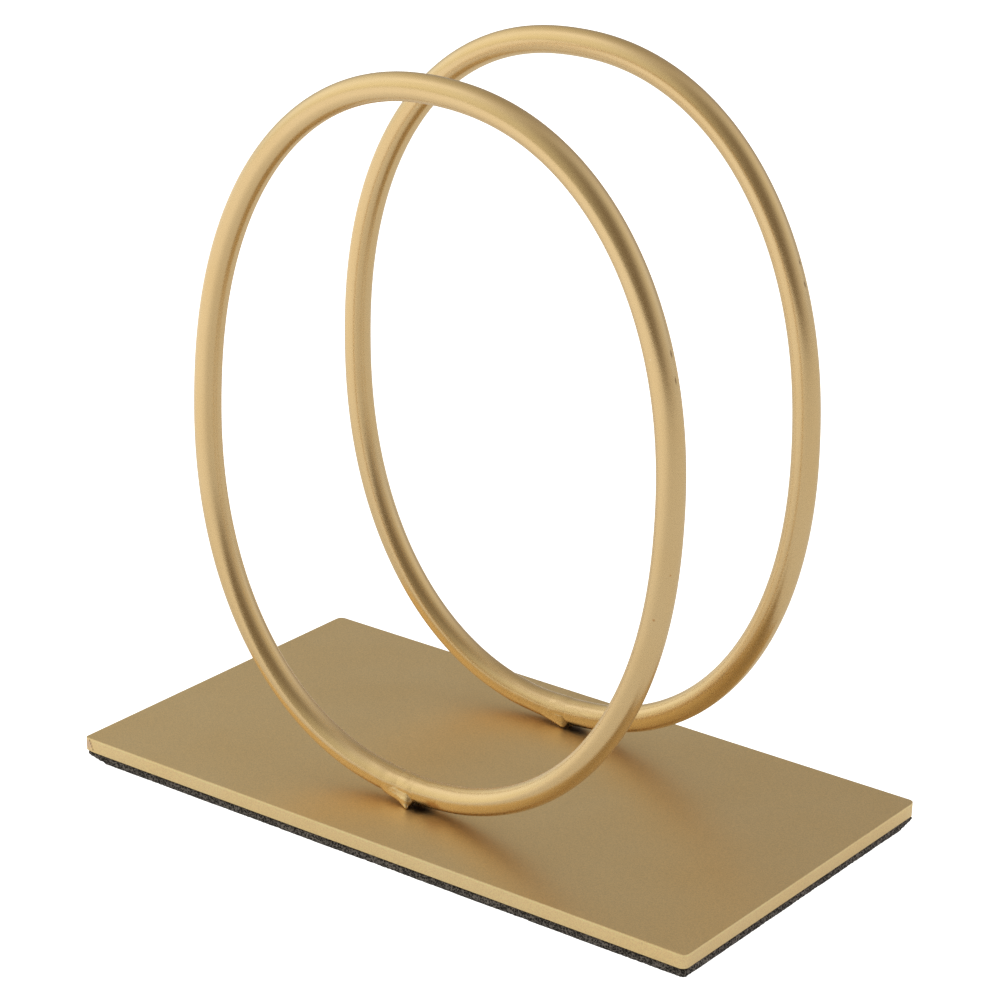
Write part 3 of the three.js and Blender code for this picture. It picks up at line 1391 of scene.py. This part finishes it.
# Most of these numbers weren't chosen by hand. A separate program solved for the panels' strengths and
# colours and the tent's cloth by least squares, and the results were rounded. The directions are a regular
# grid, but for the last two, which were given separately, and of which the first's strength was too.
PANELS = (
    Panel(90, 8, 0.26),
    Panel(135, 8, 0.40, COOL),
    Panel(180, 8, 0.14, COOL),
    Panel(225, 8, 0.13, COOL),
    Panel(270, 8, 0.67, (0.90, 1.0, 1.04)),
    Panel(315, 8, 0.62, (1.0, 1.0, 0.78)),
    Panel(112, 36, 0.23, WARM),
    Panel(157, 36, 0.30),
    Panel(247, 36, 0.32, WARM),
    Panel(292, 36, 0.24, COOL),
    Panel(337, 36, 0.33, (0.96, 1.0, 0.82)),
    Panel(120, 64, 0.19, COOL),
    Panel(300, 64, 0.27),
    Panel(0, 90, 0.09, WARM),
    Panel(302, 49, 0.30, spread=0.18),
    Panel(285, 25, 0.10, spread=0.2),
)

# Each foot weld's runs in millimetres: two along the rod, then those down its front, then one behind it
FRONT_RUNS = (
    Run((-7.6, -0.15, 0.75), (-2.6, -0.3, -0.15), (2.35, 2.75)),
    Run((-2.6, -0.3, -0.15), (3.0, -0.2, -0.1), (2.75, 2.5)),
    Run((-6.2, -0.7, 0.2), (0.8, -1.1, -0.85), (2.25, 2.15)),
    Run((-5.2, -1.0, -0.6), (1.0, -2.25, -1.95), (1.9, 1.4)),
    Run((0.0, -2.3, -2.1), (1.5, -3.5, -3.0), (1.2, 0.45)),
    Run((1.2, 0.6, -1.0), (0.5, 3.2, -2.9), (1.7, 0.6)),
)
BACK_RUNS = (
    Run((-6.4, -0.15, 0.35), (-2.0, -0.3, -0.2), (2.35, 2.75)),
    Run((-2.0, -0.3, -0.2), (3.6, -0.2, -0.1), (2.75, 2.5)),
    Run((-5.0, -0.7, 0.0), (1.6, -1.0, -0.85), (2.25, 2.15)),
    Run((-3.8, -0.9, -0.7), (1.9, -1.9, -2.15), (1.9, 1.2)),
    Run((0.8, 0.6, -1.0), (0.2, 3.1, -2.9), (1.7, 0.6)),
)


def rod_marks(front: Oval, back: Oval) -> tuple[StainOrShade, ...]:
    """The scuffs on the rods, the painted shade of dents and a painted reflection of the shaded plate,
    placed with the help of a separate program.

    Args:
        front: The front hoop's line.
        back: The back hoop's line.

    Returns:
        The marks.
    """
    reach = front.radius
    long_z = (1.7, 1.7, 0.18)
    scuff, dent_shade, plate_reflection_tint = (0.42, 0.38, 0.36), (0.78, 0.60, 0.48), (0.66, 0.50, 0.36)
    return (
        StainOrShade(front.flank(25.5, 0, reach), 0.62 * MM, scuff, long_z, 0.12),
        StainOrShade(front.flank(21.5, 3, reach), 0.50 * MM, scuff, long_z, 0.12),
        # Painted shade: these two small darker, warmer spots stand in for the shade in dents on the front
        # rod.
        StainOrShade(front.flank(-12, 70, reach), 0.40 * MM, dent_shade),
        StainOrShade(front.flank(-5, 35, reach), 0.30 * MM, dent_shade),
        # Painted reflection: the front rod's lower flank beside the foot weld is darkened and browned for
        # the shaded plate it mirrors.
        StainOrShade(front.flank(-84, 72, reach), 2.2 * MM, plate_reflection_tint, (0.7, 1.0, 1.6)),
        StainOrShade(back.flank(27, -3, reach), 0.50 * MM, scuff, long_z, 0.12),
        StainOrShade(back.flank(23.5, 0, reach), 0.58 * MM, scuff, long_z, 0.12),
    )


def plate_marks(low: Vector, high: Vector) -> tuple[StainOrShade, ...]:
    """The bare patch and the painted shade of the crease at the clipped corner, and painted shade on the
    plate under the rods.

    Args:
        low: The plate's lowest corner.
        high: Its highest corner.

    Returns:
        The marks.
    """
    middle = (low.z + high.z) / 2
    crease_shade, bare, under_rod_shade = (0.42, 0.34, 0.30), (0.86, 0.84, 1.12), (0.10, 0.08, 0.07)
    steps = ((1.3, 1.0), (1.6, 0.35), (1.9, -0.3), (2.2, -0.95))
    under_front = Vector((-0.8 * MM, -26.2 * MM, high.z))
    under_back = Vector((1.5 * MM, 28.2 * MM, high.z))
    # Painted shade: a row of dark spots down the clipped corner stands in for the shade in its crease.
    crease_shades = tuple(
        StainOrShade(Vector((low.x + x * MM, low.y, middle + z * MM)), 0.3 * MM, crease_shade, (1.2, 1.0, 0.6), 0.1)
        for x, z in steps
    )
    return crease_shades + (
        StainOrShade(Vector((low.x + 0.5 * MM, low.y, middle)), 1.7 * MM, bare, ragged=0.15),
        # Painted shade: near-black patches on the plate under each rod stand in for the shadow in the gap
        # beneath it.
        StainOrShade(under_front, 3.3 * MM, under_rod_shade, (0.62, 0.98, 1.0), 0.2),
        StainOrShade(under_back, 3.0 * MM, under_rod_shade, (0.6, 1.05, 1.0), 0.2),
    )


def main() -> None:
    """Builds the stand and its studio."""
    logging.basicConfig(level=logging.INFO, format="%(message)s")
    plate_low, plate_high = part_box("base_plate")
    BasePlate(plate_low, plate_high).build(
        GoldPaint(
            "gold_on_plate",
            PLATE_TONE,
            0.38,
            metallic=0.9,
            grain=0.016 * MM,
            flake=0.22,
            mottle=0.05,
            # The lighter cut edge and rim set below are a painted highlight.
            edge_height=plate_high.z - 0.15 * MM,
            edge_highlight=0.24,
            rim_highlight=0.12,
            stains_and_shade=plate_marks(plate_low, plate_high),
        ).make()
    )
    lines = {}
    for name, lean, joint in (("front", -1.8, -2.0), ("back", 1.5, 0.6)):
        low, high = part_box(f"{name}_butt_weld")
        foot = Vector(((low.x + high.x) / 2, (low.y + high.y) / 2, plate_high.z + ROD_RISE))
        lines[name] = Oval(foot, math.radians(lean), math.radians(joint))
    marks = rod_marks(*lines.values())
    rod_paint = GoldPaint("gold_on_rod", ROD_TONE, 0.26, grain=0.009 * MM, flake=0.07, stains_and_shade=marks).make()
    weld_paint = GoldPaint("gold_on_weld", ROD_TONE, 0.27, grain=0.011 * MM, flake=0.07, stains_and_shade=marks).make()
    for (name, line), runs in zip(lines.items(), (FRONT_RUNS, BACK_RUNS)):
        Hoop(name, line).build(rod_paint)
        ButtWeld(name, line).build(weld_paint)
        FootWeld(name, line, plate_high.z, runs).build(weld_paint)
    foam_low, foam_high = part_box("foam_pad")
    pad = Underlay(
        "foam_cushion",
        "foam_pad",
        Slot.FOAM,
        foam_low,
        foam_high,
        corner_radius=1.0 * MM,
        rows=7,
        crown=0.04 * MM,
        tuck=0.2 * MM,
        tear=0.26 * MM,
        wander=0.25 * MM,
        worn=0.75,
    ).build(CutFoam().make())
    film_low, film_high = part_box("adhesive_film")
    Underlay(
        "adhesive_sheet",
        "adhesive_film",
        Slot.ADHESIVE,
        film_low,
        film_high,
        corner_radius=1.0 * MM,
        rows=2,
        crown=0.02 * MM,
        tuck=0.04 * MM,
        tear=0.08 * MM,
        wander=0.15 * MM,
    ).build(AdhesiveBlack().make())
    Studio(PANELS).build()


if __name__ == "__main__":
    main()
